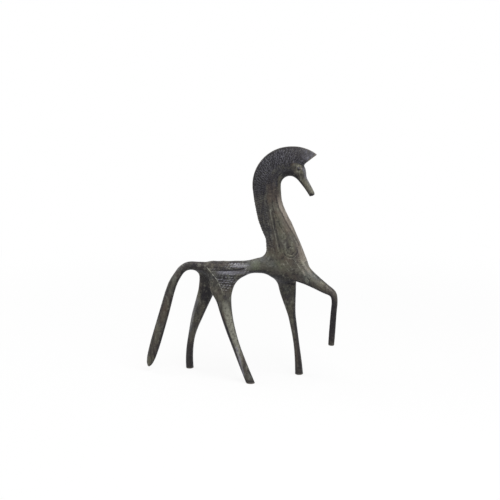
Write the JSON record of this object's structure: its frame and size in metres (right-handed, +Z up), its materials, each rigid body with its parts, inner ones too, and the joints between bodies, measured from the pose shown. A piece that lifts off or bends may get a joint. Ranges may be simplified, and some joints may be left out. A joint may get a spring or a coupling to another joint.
{
  "type": "bronze horse sculpture",
  "caption": "Tall slender standing bronze horse with an arched crested mane, one raised foreleg and a hanging tail, cast in sections that are tenoned and pinned together.",
  "frame": {"origin": "bottom centre of the bounding box, on the floor under the middle of the horse", "axes": "+X to the horse's nose, +Y to its left side, +Z up"},
  "size_m": [0.2088, 0.0502, 0.2491],
  "materials": {
    "bronze_body": "patinated bronze, olive to brown, chased and part polished",
    "bronze_mane": "dark patinated bronze with chased strokes",
    "bronze_legs": "dark patinated bronze with soft facets",
    "bronze_tail": "dark brown patinated bronze",
    "bronze_fixing": "plain turned bronze"
  },
  "bodies": {
    "root": {"hindquarters": "bronze_body", "forehand": "bronze_body", "neck": "bronze_body", "mane_crest": "bronze_mane", "head": "bronze_body", "left_hind_leg": "bronze_legs", "right_hind_leg": "bronze_legs", "left_foreleg": "bronze_legs", "right_foreleg": "bronze_legs", "tail": "bronze_tail", "loin_pin": "bronze_fixing", "neck_pin": "bronze_fixing", "head_pin": "bronze_fixing", "tail_pin": "bronze_fixing", "left_hind_pin": "bronze_fixing", "right_hind_pin": "bronze_fixing", "left_fore_pin": "bronze_fixing", "right_fore_pin": "bronze_fixing", "mane_peg_top": "bronze_fixing", "mane_peg_middle": "bronze_fixing", "mane_peg_low": "bronze_fixing"}
  },
  "joints": []
}
